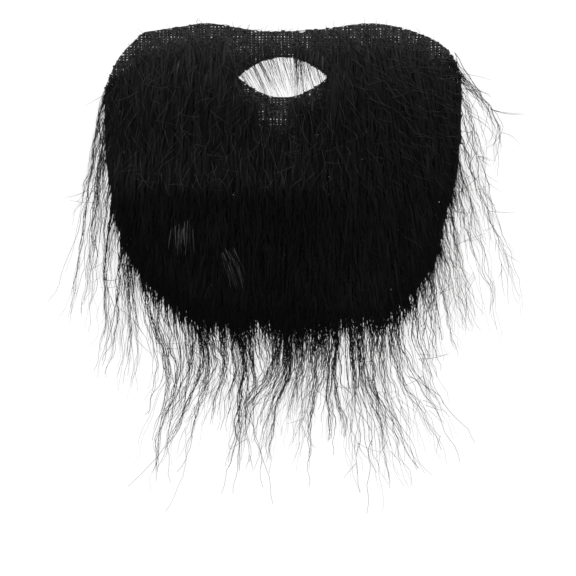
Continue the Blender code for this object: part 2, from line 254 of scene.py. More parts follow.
def pile(x, y):
    """Depth of the hair: deepest below the mouth, thin at the top edge, the sides and the lip."""
    levels = [LOW_CORNER[1], -60 * MM, -10 * MM, 30 * MM, HIGH_CORNER[1]]
    height = np.interp(y, levels, [0.62, 0.9, 1.0, 0.7, 0.2])
    side = 1 - SIDE_THINNING * np.clip(np.abs(x / HALF_WIDTH), 0, 1) ** 4
    lip = np.hypot((x - MOUTH_X) / (34 * MM), (y - MOUTH_Y) / (17 * MM))
    return PILE * height * side * (0.3 + 0.7 * smooth(lip - 0.7))


def hair_height(points, layer):
    """Height of a hair in its layer, about 0 to 1: in the pile, then past the edge down to the floor."""
    past = np.where(in_mouth_box(points), 0, np.clip(beyond(points), 0, None))
    held = FLAT_TOP + ROOT_LIFT + pile(points[..., 0], points[..., 1]) * layer
    loose = LOOSE_LIFT * layer * smooth(past / FALL)
    return REST + (held - REST) * np.exp(-((past / FALL) ** 2)) + loose


def flow(x, y):
    """Angle of the hair from straight down, to the right: a fan, wider at the right, and soft noise."""
    share = np.clip(x / HALF_WIDTH, -1.2, 1.2)
    fan = np.where(x > 0, FAN_RIGHT, FAN_LEFT) * share**2
    return fan + 0.08 * ripple(x, y, 60 * MM, 11) + 0.05 * ripple(x, y, 22 * MM, 12)


def make_piece(name, points, faces, material, replaced, rounded):
    """A piece from arrays of points and faces, smooth when rounded, with its material, riding on the
    body; the solids it replaces are hidden.
    """
    mesh = bpy.data.meshes.new(name)
    mesh.from_pydata(points.tolist(), [], faces)
    if rounded:
        mesh.shade_smooth()
    mesh.materials.append(material)
    piece = bpy.data.objects.new(name, mesh)
    bpy.context.scene.collection.objects.link(piece)
    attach(piece, "root")
    if replaced:
        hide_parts(*replaced)
    return piece


def bundle(
    name, paths, keep, half_width, half_depth, sides, tone, material, replaced=(), rounded=True
):
    """Many fibres as one mesh: a ring of points round each kept station of a path, joined and capped.

    A ring is an ellipse across the path. Its long axis lies level, square to the path's heading.
    The map has the distance along in V, in millimetres, and the way round in U, which starts at
    another place on each fibre. Tone is a number for each station.
    """
    ahead = np.empty_like(paths)
    ahead[:, 1:-1] = paths[:, 2:] - paths[:, :-2]
    ahead[:, 0], ahead[:, -1] = paths[:, 1] - paths[:, 0], paths[:, -1] - paths[:, -2]
    ahead /= np.maximum(np.linalg.norm(ahead, axis=2), 1e-9)[..., None]
    side = np.stack([ahead[..., 1], -ahead[..., 0], np.zeros(ahead.shape[:2])], axis=2)
    side /= np.maximum(np.linalg.norm(side, axis=2), 1e-6)[..., None]
    up = np.cross(side, ahead)
    turn = math.pi / 2 + np.arange(sides) * math.tau / sides
    ring = (
        paths[:, :, None]
        + side[:, :, None] * (half_width[..., None] * np.cos(turn))[..., None]
        + up[:, :, None] * (half_depth[..., None] * np.sin(turn))[..., None]
    )
    number = (np.cumsum(keep.ravel()) - 1).reshape(keep.shape)
    points = ring[keep].reshape(-1, 3)
    first = number[:, :-1][keep[:, :-1] & keep[:, 1:]] * sides
    here = np.arange(sides)
    there = (here + 1) % sides
    corners = [here, sides + here, sides + there, there]
    quads = np.stack([first[:, None] + corner for corner in corners], axis=2).reshape(-1, 4)
    before = np.pad(keep, ((0, 0), (1, 0)))[:, :-1]
    after = np.pad(keep, ((0, 0), (0, 1)))[:, 1:]
    starts = number[keep & ~before][:, None] * sides + here
    ends = number[keep & ~after][:, None] * sides + here[::-1]
    faces = quads.tolist() + starts.tolist() + ends.tolist()
    piece = make_piece(name, points, faces, material, replaced, rounded)
    gone = np.linalg.norm(np.diff(paths, axis=1), axis=2)
    along = np.pad(np.cumsum(gone, axis=1), ((0, 0), (1, 0)))[keep]
    each = np.repeat(tone[keep], sides).astype(np.float32)
    piece.data.attributes.new("tone", "FLOAT", "POINT").data.foreach_set("value", each)
    corner = read(piece.data.loops, "vertex_index", 1, np.int32)[:, 0]
    fibre = np.repeat(np.nonzero(keep)[0], sides)
    u = (corner % sides) / sides + fibre[corner] * 0.618 % 1
    v = np.repeat(along, sides)[corner] / MM
    uv = piece.data.uv_layers.new(name="fibre")
    uv.data.foreach_set("uv", np.column_stack([u, v]).astype(np.float32).ravel())
    return piece


THIN_SPOTS = [
    # where the hair lies thin: across, height, half across, half height, share of the hair that is gone
    (0 * MM, 45 * MM, 31 * MM, 17 * MM, 1.0),
    (-12 * MM, 62 * MM, 26 * MM, 14 * MM, 0.85),
    (-5 * MM, 27 * MM, 14 * MM, 17 * MM, 0.8),
    (-97 * MM, -55 * MM, 10 * MM, 20 * MM, 0.7),
    (94 * MM, -30 * MM, 8 * MM, 16 * MM, 0.6),
    (-18 * MM, 37 * MM, 11 * MM, 6 * MM, 0.8),
    (20 * MM, 37 * MM, 11 * MM, 6 * MM, 0.8),
]


def cover(x, y):
    """How well the hair covers the ground, from 0 to 1.

    It is thin along the top edge, round the mouth, in a patch below it and low on the two sides.
    """
    top = np.interp(x, GRID_X, TOP_LINE)
    share = smooth((top - y - BARE) / THIN)
    for across, height, half_across, half_height, depth in THIN_SPOTS:
        away = np.hypot((x - across) / half_across, (y - height) / half_height)
        share = share * (1 - depth * (1 - smooth(2 * away - 1)))
    return share + 0.5 * (1 - share) * np.clip(ripple(x, y, 8 * MM, 17), 0, 1)


# Painted light and shade on the hair, from 0 to 1, at these heights in the left half and in the right
# one
PAINTED_LIGHT_LEVELS = [-30 * MM, -20 * MM, 26 * MM, 41 * MM, 55 * MM, 77 * MM]
PAINTED_LIGHT_LEFT = [0.12, 0.46, 0.42, 0.54, 0.64, 0.76]
PAINTED_LIGHT_RIGHT = [0.26, 0.35, 0.42, 0.50, 0.62, 0.76]
MOST_GREY = 0.8
OWN_SHADE = 0.05  # how far a hair's own shade may be from its place's painted light and shade
GLINTS = 0.02  # share of the hairs with a painted glint, as if they caught the light
GLINT_LIFT = 0.16  # how much lighter those painted glints are
STRAY_SHEEN = 0.34  # how much lighter the strays are painted, as a painted sheen


def tones_and_painted_light(paths, rng, sheen_lift=0):
    """How light each station of each fibre is: its place's painted light and shade, its own shade, and a
    painted glint in a few.

    The painted shade is deepest below the fold under the mouth, which is not in the pile's shape, and
    shows at the left more than at the right. Above the fold, where the pile tilts towards the light,
    the hair is painted lighter, and lighter still towards the top edge, where it lies thin.
    """
    x, y = paths[..., 0], paths[..., 1]
    right = smooth((x - 10 * MM) / (40 * MM))
    painted_light = (1 - right) * np.interp(y, PAINTED_LIGHT_LEVELS, PAINTED_LIGHT_LEFT)
    painted_light = painted_light + right * np.interp(y, PAINTED_LIGHT_LEVELS, PAINTED_LIGHT_RIGHT)
    # painted glints, painted sheen on the strays, and each hair's own random shade
    glint = rng.uniform(0, 1, (len(paths), 1)) < GLINTS
    shade = sheen_lift + rng.uniform(-OWN_SHADE, OWN_SHADE, (len(paths), 1)) + GLINT_LIFT * glint
    return np.clip(painted_light + shade, 0, MOST_GREY)


def yarn_runs(pitch, axis):
    """The stretches of the yarns on the ground: their line, start and end, without those under 2 mm."""
    count = int((HIGH_CORNER[axis] - LOW_CORNER[axis]) / pitch)
    first = (HIGH_CORNER[axis] + LOW_CORNER[axis] - (count - 1) * pitch) / 2
    index = np.arange(count)
    found = crossings(first + index * pitch, axis)[:, :6].reshape(count, -1, 2)
    row = np.repeat(index, found.shape[1])
    low, high = found.reshape(-1, 2).T
    fine = np.nan_to_num(high - low) > 2 * MM
    return first, row[fine], low[fine], high[fine]


def weave(name, pitch, other_pitch, step, width, axis, first, other_first, runs, rng, yarn, replaced=()):
    """The yarns of one direction: parallel lines that pass over one crossing yarn and under the next.

    They rise and sink by a cosine of the distance along, and drift to the side by soft noise.
    """
    row, low, high = runs
    low = low + rng.normal(0, YARN_END, len(row))
    high = high + rng.normal(0, YARN_END, len(row))
    stations = int((high - low).max() / step) + 2
    reached = low[:, None] + np.arange(stations) * step
    keep = reached < high[:, None] + step
    s = np.minimum(reached, high[:, None])
    line = first + row[:, None] * pitch + 0 * s
    x, y = (line, s) if axis == 0 else (s, line)
    sign = 1 if axis == 0 else -1
    phase = math.pi * ((s - other_first) / other_pitch + row[:, None])
    middle = YARN_WAVE + YARN_DEPTH / 2
    z = middle + sign * YARN_WAVE * np.cos(phase)
    drift = YARN_DRIFT * ripple(x, y, 14 * MM, 20 + axis) + rng.normal(0, YARN_SHIFT, (len(row), 1))
    x, y = (x + drift, y) if axis == 0 else (x, y + drift)
    uneven = rng.normal(0, YARN_UNEVEN, x.shape)
    swell = 1 + 0.08 * ripple(x, y, 9 * MM, 30 + axis) + uneven + CLOSING * cover(x, y)
    half = width / 2 * swell * rng.uniform(*YARN_WIDTHS, (len(row), 1))
    depth = np.full_like(half, YARN_DEPTH / 2)
    tone = rng.uniform(0, 1, (len(row), 1)) + 0 * x
    paths = np.stack([x, y, z], axis=2)
    return bundle(name, paths, keep, half, depth, 4, tone, yarn, replaced)


def even(line, count):
    """Spaces the points of a line out evenly."""
    gone = np.insert(np.cumsum(np.linalg.norm(np.diff(line, axis=0), axis=1)), 0, 0)
    s = np.linspace(0, gone[-1], count)
    return np.column_stack([np.interp(s, gone, line[:, 0]), np.interp(s, gone, line[:, 1])])


def make_edge(material):
    """The bound edge: a thin uneven yarn along the outline and round the mouth."""
    plan = np.array([even(loop, EDGE_STATIONS) for loop in LOOPS])
    paths = np.dstack([plan, np.full(plan.shape[:2], YARN_WAVE + YARN_DEPTH / 2)])
    half = EDGE_HALF * (0.9 + 0.6 * ripple(plan[..., 0], plan[..., 1], 3 * MM, 41))
    keep = np.ones(half.shape, bool)
    return bundle("ground_edge", paths, keep, half, half, 5, 0.5 * keep, material)


def scatter(count, rng, least):
    """Roots inside the outline, one from each kept square of an even grid, shifted at random.

    A square is kept with a chance that follows the cover but isn't below the least.
    """
    pitch = math.sqrt(GROUND_AREA / count)
    across, up = (np.arange(LOW_CORNER[axis], HIGH_CORNER[axis], pitch) for axis in (0, 1))
    x, y = np.meshgrid(across, up)
    roots = np.column_stack([x.ravel(), y.ravel()]) + rng.uniform(0, pitch, (x.size, 2))
    chance = least + (1 - least) * cover(*roots.T)
    return roots[(beyond(roots) < -0.4 * MM) & (rng.uniform(0, 1, len(roots)) < chance)]


def grow(roots, length, stations, lean, curl, rng):
    """Runs hairs through the flow from their roots, a station at a time.

    Each step goes on by an equal share of the hair's length, at the flow's angle plus the hair's
    own lean and a sine wave of its own.
    """
    count = len(roots)
    path = np.empty((count, stations, 2))
    path[:, 0] = roots
    step = length / (stations - 1)
    wave, phase = rng.uniform(18 * MM, 42 * MM, count), rng.uniform(0, math.tau, count)
    for k in range(1, stations):
        x, y = path[:, k - 1].T
        turn = flow(x, y) + lean + curl * np.sin(step * k / wave * math.tau + phase)
        path[:, k] = np.column_stack([x + step * np.sin(turn), y - step * np.cos(turn)])
    return path


def sample(lines, place):
    """The points of each line at its places, given in stations."""
    low = np.clip(place.astype(int), 0, lines.shape[1] - 2)
    share = (place - low)[..., None]
    row = np.arange(len(lines))[:, None]
    return lines[row, low] * (1 - share) + lines[row, low + 1] * share


def trim(path, over, stations):
    """Ends each path at its first station that is over, and spaces the stations out again."""
    first = np.where(over.any(axis=1), over.argmax(axis=1), path.shape[1] - 1)
    return sample(path, np.linspace(0, 1, stations) * np.maximum(first, 1)[:, None])


def hold_sides(path, ease):
    """Keeps the hairs of the upper half inside the two side edges."""
    x, y = path[..., 0], path[..., 1]
    left = np.interp(y, GRID_Y, LEFT_LINE) + ease
    right = np.interp(y, GRID_Y, RIGHT_LINE) - ease
    share = smooth((y + 40 * MM) / (30 * MM))
    held = x + (np.clip(x, left, right) - x) * share
    return np.stack([held, y], axis=-1)


def raise_path(path, layer):
    """Gives hairs their height: from the ground at the root up into their layer."""
    stations = path.shape[1]
    z = hair_height(path, layer[:, None])
    rise = smooth(np.arange(stations) / (stations - 1) * RISE)
    root = FLAT_TOP * 0.8
    return np.dstack([path, root + (z - root) * np.where(beyond(path) < 0, rise, 1)])


def strands(name, paths, tone, rng, material, replaced, width):
    """Fine fibres with three sides, one of them level and as wide as said; they thin to the tip."""
    count, stations = paths.shape[:2]
    taper = 1 - 0.6 * (np.arange(stations) / (stations - 1)) ** 1.7
    half = width / math.sqrt(3) * taper * rng.uniform(0.75, 1.3, (count, 1))
    keep = np.ones((count, stations), bool)
    return bundle(name, paths, keep, half, half, 3, tone, material, replaced)


def by_area(roots):
    """Which of the four areas of hair a root is in."""
    x, y = roots.T
    middle = np.abs(x) < MIDDLE_HALF
    return {
        "moustache": middle & (y > MOUTH_Y),
        "chin": middle & (y <= MOUTH_Y),
        "left_cheek": ~middle & (x < 0),
        "right_cheek": ~middle & (x > 0),
    }


def make_under_hair(under):
    """Narrow flat locks in layers, tapering to a point, which cover the ground where hair is thick."""
    rng = np.random.default_rng(2)
    roots = scatter(UNDER_LOCKS, rng, 0.0)
    count, stations = len(roots), 5
    thick = cover(*roots.T)
    length = rng.uniform(16 * MM, 36 * MM, count) * (0.6 + 0.4 * thick)
    path = grow(roots, length, STEPS, rng.normal(0, 0.10, count), rng.uniform(0, 0.10, count), rng)
    path = hold_sides(path, 1.2 * MM)
    past = EDGE_REACH + HEM_FALL * smooth((HEM_LEVEL - roots[:, 1:]) / (20 * MM))
    limit = np.where(in_mouth_box(path, LIP_MARGIN), -0.8 * MM, rng.uniform(-6 * MM, past))
    path = trim(path, beyond(path) > limit, stations)
    paths = raise_path(path, rng.uniform(0.5, 0.8, count))
    share = np.arange(stations) / (stations - 1)
    form = (0.45 + 0.75 * np.sin(share * 2.2)) * (1 - 0.88 * share**3)
    half = LOCK_HALF * rng.uniform(0.6, 1.35, (count, 1)) * (0.3 + 0.7 * thick[:, None]) * form
    depth = np.full_like(half, LOCK_DEPTH)
    tone = tones_and_painted_light(paths, rng)
    for area, chosen in by_area(roots).items():
        keep = np.ones((chosen.sum(), stations), bool)
        bundle(
            f"{area}_under_hair",
            paths[chosen],
            keep,
            half[chosen],
            depth[chosen],
            4,
            tone[chosen],
            under,
            [f"{area}_hair"],
            rounded=False,
        )


def make_top_hair(fibre):
    """The loose hairs over the ground along the flow, and strays that lie across it, painted paler as a
    sheen.

    In the right half the strays slant down to the right. Elsewhere most lie near the flow, and a
    share of them at any angle.
    """
    rng = np.random.default_rng(3)
    roots = scatter(TOP_HAIRS, rng, 0.85)
    main = len(roots)
    roots = np.vstack([roots, scatter(STRAY_HAIRS, rng, 0.5)])
    count, stations = len(roots), 8
    x, y = roots.T
    stray = np.arange(count) >= main
    thick = cover(x, y)
    length = np.where(stray, rng.uniform(6 * MM, 19 * MM, count), rng.uniform(16 * MM, 40 * MM, count))
    length = length * (0.5 + 0.5 * thick)
    right = smooth((x - 10 * MM) / (60 * MM))
    across = right * np.interp(y, [0, 45 * MM], [0.7, 1.2]) + rng.normal(0, 0.35, count)
    crossing = rng.uniform(0, 1, count) < CROSSING_STRAYS * (1 - right)
    across = np.where(crossing, rng.uniform(-CROSSING_ANGLE, CROSSING_ANGLE, count), across)
    lean = np.where(stray, across, rng.normal(0, 0.18, count))
    path = grow(roots, length, STEPS, lean, rng.uniform(0.05, 0.4, count), rng)
    path = hold_sides(path, 0.3 * MM)
    limit = np.where(in_mouth_box(path, LIP_MARGIN), -0.2 * MM, rng.uniform(0, 12 * MM, (count, 1)))
    path = trim(path, beyond(path) > limit, stations)
    paths = raise_path(path, np.where(stray, rng.uniform(0.9, 1.1, count), rng.uniform(0.6, 1.0, count)))
    for area, chosen in by_area(roots).items():
        solids = [f"{area}_hair"]
        main_paths, stray_paths = paths[chosen & ~stray], paths[chosen & stray]
        strands(f"{area}_top_hair", main_paths, tones_and_painted_light(main_paths, rng), rng, fibre, solids, FINE_WIDTH)
        # the strays' tone, painted paler as a sheen
        pale = tones_and_painted_light(stray_paths, rng, STRAY_SHEEN)
        strands(f"{area}_stray_hair", stray_paths, pale, rng, fibre, solids, FINE_WIDTH)


PARTING_WIDTH = 0.15 * MM  # of a hair in a parting, painted pale as a highlight
PARTINGS = [
    # name, hairs, across, height, half across, half height, slant
    ("upper", 48, -60 * MM, -42 * MM, 6.5 * MM, 3.5 * MM, 0.02),
    ("lower", 44, -33 * MM, -62 * MM, 5.5 * MM, 7.0 * MM, 0.33),
]


def make_partings(fibre):
    """Two places low at the left where the hair lies parted, and hairs side by side are painted pale as
    highlights.
    """
    rng = np.random.default_rng(9)
    stations = 6
    for name, count, across, height, half_across, half_height, slant in PARTINGS:
        down = rng.uniform(-half_height, half_height, count)
        x = across + np.linspace(-half_across, half_across, count) + rng.normal(0, 0.3 * MM, count)
        roots = np.column_stack([x + down * math.tan(slant), height - down])
        lean = slant + rng.normal(0, 0.05, count)
        path = grow(roots, rng.uniform(9 * MM, 20 * MM, count), stations, lean, 0.05, rng)
        paths = raise_path(path, rng.uniform(0.95, 1.1, count))
        # painted highlights: the parted hairs are painted pale, up to the lightest stops of the colour
        # ramp
        tone = rng.uniform(0.45, 1.0, (count, 1)) + np.zeros((1, stations))
        strands(f"{name}_parting_hair", paths, tone, rng, fibre, ["chin_hair"], PARTING_WIDTH)


# The tresses of the fringe in order from the left shoulder down, along the hem and up to the right
# one. Each row has how many short, middle and long hairs the tress has, as whole numbers, and the
# bends of its middle line in millimetres
TRESSES = [
    (12, 8, 7, [(-98, 48), (-106, 40), (-112, 14), (-119, -38), (-126, -84), (-130, -109)]),
    (6, 8, 10, [(-98, 34), (-107, 16), (-115, -41), (-119, -78), (-124, -113)]),
    (4, 10, 8, [(-100, 22), (-109, -6), (-114, -36), (-117, -70), (-121, -96)]),
    (2, 4, 6, [(-98, 10), (-106, -10), (-108, -44), (-108, -88), (-111, -119)]),
    (5, 5, 8, [(-95, -14), (-102, -50), (-105, -76), (-100, -110), (-106, -144)]),
    (28, 15, 10, [(-91, -30), (-96, -52), (-97, -96), (-99, -119), (-103, -136)]),
    (75, 20, 10, [(-85, -40), (-91, -62), (-91, -90), (-88, -112), (-89, -155)]),
    (80, 20, 10, [(-79, -55), (-83, -76), (-81, -96), (-72, -130), (-77, -166)]),
    (58, 10, 8, [(-70, -67), (-75, -88), (-73, -108), (-66, -128), (-70, -150), (-80, -180)]),
    (56, 10, 8, [(-63, -75), (-61, -100), (-56, -124), (-60, -145), (-76, -168), (-77, -213)]),
    (74, 11, 6, [(-57, -79), (-56, -104), (-52, -128), (-59, -156)]),
    (68, 19, 12, [(-52, -82), (-50, -107), (-46, -130), (-58, -164), (-68, -194), (-84, -216)]),
    (68, 13, 6, [(-45, -84), (-44, -108), (-38, -130), (-47, -150), (-54, -170)]),
    (70, 16, 6, [(-37, -86), (-36, -110), (-33, -128), (-38, -149), (-40, -166)]),
    (76, 15, 8, [(-31, -87), (-29, -113), (-28, -136), (-34, -158), (-35, -172)]),
    (64, 18, 14, [(-26, -88), (-25, -114), (-20, -132), (-25, -148), (-18, -196), (-19, -218)]),
    (66, 18, 8, [(-19, -88), (-18, -114), (-12, -132), (-24, -149), (-26, -166)]),
    (76, 20, 4, [(-10, -88), (-7, -112), (-6, -130), (-20, -152), (-25, -172)]),
    (84, 22, 8, [(-3, -88), (-2, -112), (-5, -138), (-14, -156), (-16, -172)]),
    (76, 38, 16, [(3, -88), (3, -116), (3, -134), (-7, -152), (-16, -193)]),
    (72, 30, 4, [(8, -88), (8, -116), (6, -136), (0, -158), (-2, -175)]),
    (80, 22, 6, [(13, -88), (13, -118), (12, -144), (9, -172)]),
    (65, 26, 10, [(18, -88), (19, -116), (17, -142), (12, -162), (5, -209)]),
    (62, 28, 6, [(23, -88), (25, -116), (24, -133), (15, -150), (14, -166)]),
    (34, 10, 8, [(29, -88), (30, -116), (28, -142), (33, -166), (33, -184)]),
    (32, 10, 10, [(34, -88), (33, -114), (32, -140), (40, -162), (41, -181)]),
    (28, 15, 9, [(39, -88), (41, -118), (44, -148), (46, -166), (43, -191), (54, -220)]),
    (28, 13, 10, [(46, -88), (47, -116), (49, -142), (61, -163), (68, -196), (73, -214)]),
    (30, 14, 8, [(52, -87), (53, -118), (56, -144), (63, -162), (65, -176)]),
    (30, 12, 7, [(58, -85), (59, -118), (62, -143), (71, -164), (77, -197)]),
    (30, 13, 6, [(64, -82), (63, -112), (65, -136), (75, -164), (77, -182)]),
    (30, 15, 6, [(69, -78), (69, -114), (76, -138), (88, -155), (109, -205)]),
    (35, 20, 4, [(76, -71), (77, -92), (77, -108), (85, -138), (92, -166)]),
    (25, 8, 5, [(83, -60), (86, -80), (86, -108), (91, -138)]),
    (30, 12, 6, [(88, -51), (90, -74), (92, -100), (94, -128)]),
    (20, 11, 8, [(91, -36), (97, -57), (104, -88), (112, -116)]),
    (16, 7, 5, [(95, -14), (102, -34), (106, -70), (116, -110)]),
    (22, 4, 5, [(97, -2), (105, -24), (110, -60), (121, -90), (122, -110)]),
    (16, 4, 5, [(98, 9), (106, -6), (119, -48), (127, -80), (129, -116)]),
    (3, 3, 4, [(99, 21), (107, 8), (116, -20), (133, -58), (146, -92), (146, -104)]),
    (2, 2, 2, [(99, 44), (107, 32), (117, 0), (121, -26), (130, -60), (138, -119)]),
    (2, 2, 2, [(97, 48), (107, 36), (116, 12), (118, -16), (122, -38)]),
    (12, 12, 4, [(98, 60), (107, 47), (122, 30), (131, 14), (126, -2), (125, -18)]),
]
FRINGE_KINDS = [
    # kind, its column in the table, reach, stations, how far a clump strays towards the next tress,
    # share of the hairs that lie singly, width
    ("short", 0, (12 * MM, 34 * MM), 10, 0.50, 0.80, FRINGE_WIDTH),
    ("middle", 1, (24 * MM, 64 * MM), 18, 0.40, 0.30, FRINGE_WIDTH),
    ("long", 2, (60 * MM, 190 * MM), 24, 0.28, 0.35, FRINGE_WIDTH),
    ("veil", 2, (50 * MM, 200 * MM), 20, 0.90, 1.00, FINE_WIDTH),
]
# Each area's first tress, and the one past its last
FRINGE_AREAS = [("left", 0, 7), ("hem", 7, 34), ("right", 34, len(TRESSES))]
SHOULDERS = (19, 15)  # the middle tress, and how many at each side of it have full hairs
CLUMP = 9  # hairs that cling together
LINE_STATIONS = 81
CORNER = 7  # stations that a corner of a middle line is rounded over


def tress_line(points):
    """A tress's middle line: through its points, with the corners rounded by two running means."""
    line = even(np.array(points) * MM, LINE_STATIONS)
    half = CORNER // 2
    mean = np.ones(CORNER) / CORNER
    for _ in range(2):
        padded = np.pad(line, ((half, half), (0, 0)), "reflect", reflect_type="odd")
        line = np.column_stack([np.convolve(column, mean, "valid") for column in padded.T])
    return even(line, LINE_STATIONS)


TRESS_LINES = np.array([tress_line(row[3]) for row in TRESSES])
TRESS_LENGTHS = np.linalg.norm(np.diff(TRESS_LINES, axis=1), axis=2).sum(axis=1)


def sway(s, lengths, heights, group, rng):
    """Sine waves along hairs; those of one group share the wave's length, height and phase."""
    count = group.max() + 1
    length = rng.uniform(*lengths, count)[group][:, None]
    height = rng.uniform(*heights, count)[group][:, None]
    return height * np.sin(s / length * math.tau + rng.uniform(0, math.tau, count)[group][:, None])


def frizz(stations, count, rng):
    """Two fine sine waves for each hair, added up, each as long as 2.5 to 6 of its stations."""
    k = np.arange(stations)
    total = 0
    for _ in range(2):
        length, phase = rng.uniform(2.5, 6, (count, 1)), rng.uniform(0, math.tau, (count, 1))
        total = total + np.sin(k / length * math.tau + phase)
    return total


def trim_to_box(path, stations):
    """Ends the hairs where they would pass the box of the solids by more than they may."""
    box = np.array([corner[:2] for corner in cad_box]) + [[-SPARE], [SPARE]]
    return trim(path, ((path < box[0]) | (path > box[1])).any(axis=2), stations)


def fringe_paths(tress, reach, stations, stray, single, rng):
    """Hairs that leave the edge along their tress in clumps, which narrow and open again to the tip.

    A clump, and a hair that lies singly, follows a blend of two tresses, with a wave and a slow
    bend. Each hair of a clump keeps a place in it and has a finer wave of its own.
    """
    count = len(tress)
    clump = np.arange(count) // CLUMP
    clump = np.where(rng.uniform(0, 1, count) < single, clump[-1] + 1 + np.arange(count), clump)
    clumps = clump.max() + 1
    place = tress + rng.uniform(-stray, stray, clumps)[clump] + rng.normal(0, 0.05, count)
    place = np.clip(place, 0, len(TRESSES) - 1.001)
    low = place.astype(int)
    share = place - low
    line = TRESS_LINES[low] * (1 - share)[:, None, None] + TRESS_LINES[low + 1] * share[:, None, None]
    full = TRESS_LENGTHS[low] * (1 - share) + TRESS_LENGTHS[low + 1] * share
    start = rng.uniform(0, 0.05, clumps)[clump] + rng.uniform(0, 0.03, count)
    run = rng.uniform(*reach, clumps)[clump] * rng.uniform(0.55, 1.05, count)
    end = np.minimum(start + run / full, rng.uniform(0.8, 1, count))
    part = np.linspace(0, 1, stations)
    along = start[:, None] + (end - start)[:, None] * part
    path = sample(line, along * (LINE_STATIONS - 1))
    ahead = np.gradient(path, axis=1)
    ahead /= np.linalg.norm(ahead, axis=2)[..., None]
    side = np.stack([-ahead[..., 1], ahead[..., 0]], axis=2)
    s = (along - start[:, None]) * full[:, None]
    width = np.interp(part, [0, 0.5, 1], [1.7 * MM, 0.55 * MM, 1.0 * MM])
    own_place = rng.normal(0, 1, (count, 1)) * width
    offset = own_place + rng.normal(0, CLUMP_BEND, clumps)[clump][:, None] * s**2
    waves = sway(s, (16 * MM, 34 * MM), (0.2 * MM, 1.0 * MM), clump, rng)
    fine = FRIZZ * np.sqrt(run / stations / MM) * MM
    waves = waves + fine[:, None] * frizz(stations, count, rng)
    path = path + side * (offset + waves * smooth(s / (10 * MM)))[..., None]
    return raise_path(trim_to_box(path, stations), rng.uniform(0.25, 1.0, count))


def make_fringe(fibre):
    """The fringe in pieces: short, middle and long hairs at the left, along the hem and at the right."""
    rng = np.random.default_rng(4)
    for kind, column, reach, stations, stray, single, width in FRINGE_KINDS:
        tress = np.repeat(np.arange(len(TRESSES)), [row[column] for row in TRESSES])
        paths = fringe_paths(tress, reach, stations, stray, single, rng)
        for area, first, last in FRINGE_AREAS:
            chosen = (tress >= first) & (tress < last)
            part = paths[chosen]
            shoulder = np.abs(tress[chosen] - SHOULDERS[0]) > SHOULDERS[1]
            widths = width * np.where(shoulder, SIDE_FINENESS, 1)[:, None]
            strands(f"{area}_fringe_{kind}", part, tones_and_painted_light(part, rng), rng, fibre, (), widths)


def arcs(root, heading, length, bend, stations):
    """Curved hairs: each turns evenly as it runs from its root."""
    step = length / (stations - 1)
    turn = heading[:, None] + (bend * step)[:, None] * np.arange(stations - 1)
    steps = np.stack([np.cos(turn), np.sin(turn)], axis=2) * step[:, None, None]
    return root[:, None] + np.pad(np.cumsum(steps, axis=1), ((0, 0), (1, 0), (0, 0)))


def make_flyaways(fibre):
    """Single curled hairs that stand off the fringe at any angle, and some off the top edge.

    A share of those on the fringe is kept for its right part, which has few other hairs.
    """
    rng = np.random.default_rng(8)
    count, top_count, stations = FLYAWAYS, TOP_FLYAWAYS, 9
    place = rng.uniform(0.02, 0.75, (count, 1)) * (LINE_STATIONS - 2)
    right = rng.uniform(0, 1, count) < RIGHT_FLYAWAYS
    right_row = rng.integers(FRINGE_AREAS[-1][1], len(TRESSES), count)
    any_row = rng.integers(0, len(TRESSES), count)
    lines = TRESS_LINES[np.where(right, right_row, any_row)]
    root = sample(lines, place)[:, 0]
    ahead = sample(lines, place + 1)[:, 0] - root
    heading = np.arctan2(ahead[:, 1], ahead[:, 0]) + rng.normal(0, 0.75, count)
    length = rng.uniform(5 * MM, 22 * MM, count)
    path = arcs(root, heading, length, rng.normal(0, FLYAWAY_BEND, count), stations)
    x = rng.uniform(LOW_CORNER[0] * 0.9, HIGH_CORNER[0] * 0.9, top_count)
    root = np.column_stack([x, np.interp(x, GRID_X, TOP_LINE) - 1 * MM])
    heading = rng.uniform(0.1, math.pi - 0.1, top_count)
    bend = rng.choice([-1, 1], top_count) * rng.uniform(150, 450, top_count)
    length = rng.uniform(2.5 * MM, 7 * MM, top_count)
    path = np.concatenate([path, arcs(root, heading, length, bend, stations)])
    paths = raise_path(trim_to_box(path, stations), rng.uniform(0.3, 1.0, len(path)))
    strands("flyaway_hair", paths, tones_and_painted_light(paths, rng), rng, fibre, (), FINE_WIDTH)


LIP_CLUMPS = [
    # share of the hairs, distance from the mouth's middle, spread, slant, spread of the slant
    (0.20, 9.5 * MM, 1.8 * MM, 0.05, 0.06),
    (0.05, -17 * MM, 0.7 * MM, 0.42, 0.07),
    (0.04, -14 * MM, 0.6 * MM, 0.50, 0.07),
    (0.03, 14 * MM, 0.6 * MM, 0.20, 0.07),
    (0.02, -8 * MM, 0.3 * MM, 0.45, 0.04),
]


